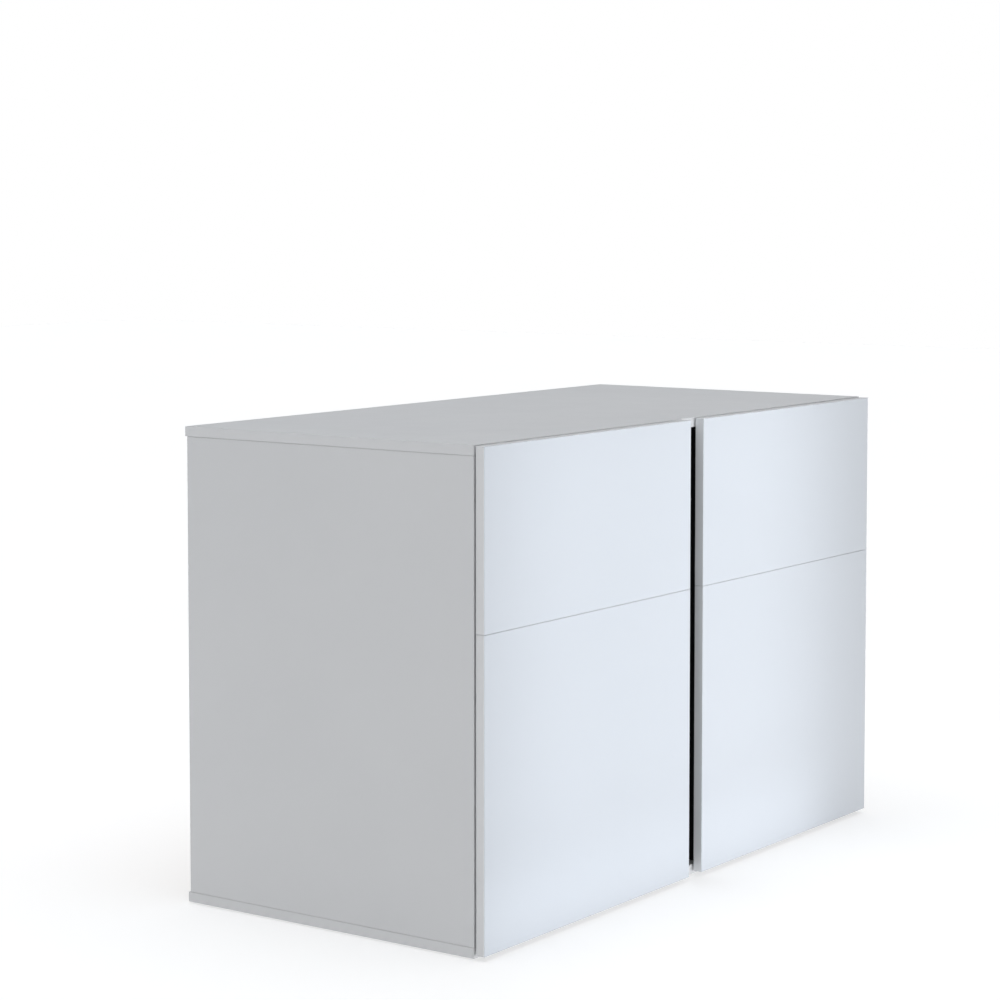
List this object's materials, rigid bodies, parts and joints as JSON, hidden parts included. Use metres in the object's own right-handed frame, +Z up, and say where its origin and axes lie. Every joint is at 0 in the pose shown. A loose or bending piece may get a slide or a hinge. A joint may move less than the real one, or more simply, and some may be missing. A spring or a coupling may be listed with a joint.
{
  "type": "aquarium stand cabinet",
  "caption": "White gloss aquarium stand cabinet with handleless side-hung doors that open from a black finger-grip channel in the middle of the front.",
  "frame": {"origin": "middle of the footprint at floor level, under the glides", "axes": "+X to the right seen from the front, +Y from the door fronts to the back, +Z up"},
  "size_m": [1.2, 0.585, 0.769],
  "materials": {
    "white_gloss_front": "high-gloss white lacquer on board",
    "white_laminate": "satin white melamine laminate on particle board",
    "back_hardboard": "matt white-faced hardboard, brown behind",
    "black_grip": "black anodised, satin",
    "hinge_steel": "nickel-plated pressed steel",
    "glide_plastic": "dark moulded plastic",
    "clear_bumper": "soft clear polyurethane"
  },
  "bodies": {
    "cabinet": {"top_board": "white_laminate", "bottom_board": "white_laminate", "left_side_panel": "white_laminate", "right_side_panel": "white_laminate", "centre_divider": "white_laminate", "left_shelf": "white_laminate", "right_shelf": "white_laminate", "left_back_panel": "back_hardboard", "right_back_panel": "back_hardboard", "grip_channel": "black_grip", "front_left_glide": "glide_plastic", "front_centre_glide": "glide_plastic", "front_right_glide": "glide_plastic", "rear_left_glide": "glide_plastic", "rear_centre_glide": "glide_plastic", "rear_right_glide": "glide_plastic", "upper_left_door_top_hinge_arm": "hinge_steel", "upper_left_door_top_hinge_plate": "hinge_steel", "upper_left_door_bottom_hinge_arm": "hinge_steel", "upper_left_door_bottom_hinge_plate": "hinge_steel", "upper_right_door_top_hinge_arm": "hinge_steel", "upper_right_door_top_hinge_plate": "hinge_steel", "upper_right_door_bottom_hinge_arm": "hinge_steel", "upper_right_door_bottom_hinge_plate": "hinge_steel", "lower_left_door_top_hinge_arm": "hinge_steel", "lower_left_door_top_hinge_plate": "hinge_steel", "lower_left_door_bottom_hinge_arm": "hinge_steel", "lower_left_door_bottom_hinge_plate": "hinge_steel", "lower_right_door_top_hinge_arm": "hinge_steel", "lower_right_door_top_hinge_plate": "hinge_steel", "lower_right_door_bottom_hinge_arm": "hinge_steel", "lower_right_door_bottom_hinge_plate": "hinge_steel"},
    "upper_left_door": {"upper_left_door": "white_gloss_front", "upper_left_door_top_bumper": "clear_bumper", "upper_left_door_top_hinge_cup": "hinge_steel", "upper_left_door_top_hinge_pin": "hinge_steel", "upper_left_door_bottom_bumper": "clear_bumper", "upper_left_door_bottom_hinge_cup": "hinge_steel", "upper_left_door_bottom_hinge_pin": "hinge_steel"},
    "upper_right_door": {"upper_right_door": "white_gloss_front", "upper_right_door_top_bumper": "clear_bumper", "upper_right_door_top_hinge_cup": "hinge_steel", "upper_right_door_top_hinge_pin": "hinge_steel", "upper_right_door_bottom_bumper": "clear_bumper", "upper_right_door_bottom_hinge_cup": "hinge_steel", "upper_right_door_bottom_hinge_pin": "hinge_steel"},
    "lower_left_door": {"lower_left_door": "white_gloss_front", "lower_left_door_top_bumper": "clear_bumper", "lower_left_door_top_hinge_cup": "hinge_steel", "lower_left_door_top_hinge_pin": "hinge_steel", "lower_left_door_bottom_bumper": "clear_bumper", "lower_left_door_bottom_hinge_cup": "hinge_steel", "lower_left_door_bottom_hinge_pin": "hinge_steel"},
    "lower_right_door": {"lower_right_door": "white_gloss_front", "lower_right_door_top_bumper": "clear_bumper", "lower_right_door_top_hinge_cup": "hinge_steel", "lower_right_door_top_hinge_pin": "hinge_steel", "lower_right_door_bottom_bumper": "clear_bumper", "lower_right_door_bottom_hinge_cup": "hinge_steel", "lower_right_door_bottom_hinge_pin": "hinge_steel"}
  },
  "joints": [
    {"name": "upper_left_door_hinge", "type": "hinge", "parent": "cabinet", "child": "upper_left_door", "pos_m": [-0.591, -0.286, 0.629], "axis": [0, 0, -1], "range_deg": [0, 105]},
    {"name": "upper_right_door_hinge", "type": "hinge", "parent": "cabinet", "child": "upper_right_door", "pos_m": [0.591, -0.286, 0.629], "axis": [0, 0, 1], "range_deg": [0, 105]},
    {"name": "lower_left_door_hinge", "type": "hinge", "parent": "cabinet", "child": "lower_left_door", "pos_m": [-0.591, -0.286, 0.248], "axis": [0, 0, -1], "range_deg": [0, 105]},
    {"name": "lower_right_door_hinge", "type": "hinge", "parent": "cabinet", "child": "lower_right_door", "pos_m": [0.591, -0.286, 0.248], "axis": [0, 0, 1], "range_deg": [0, 105]}
  ]
}
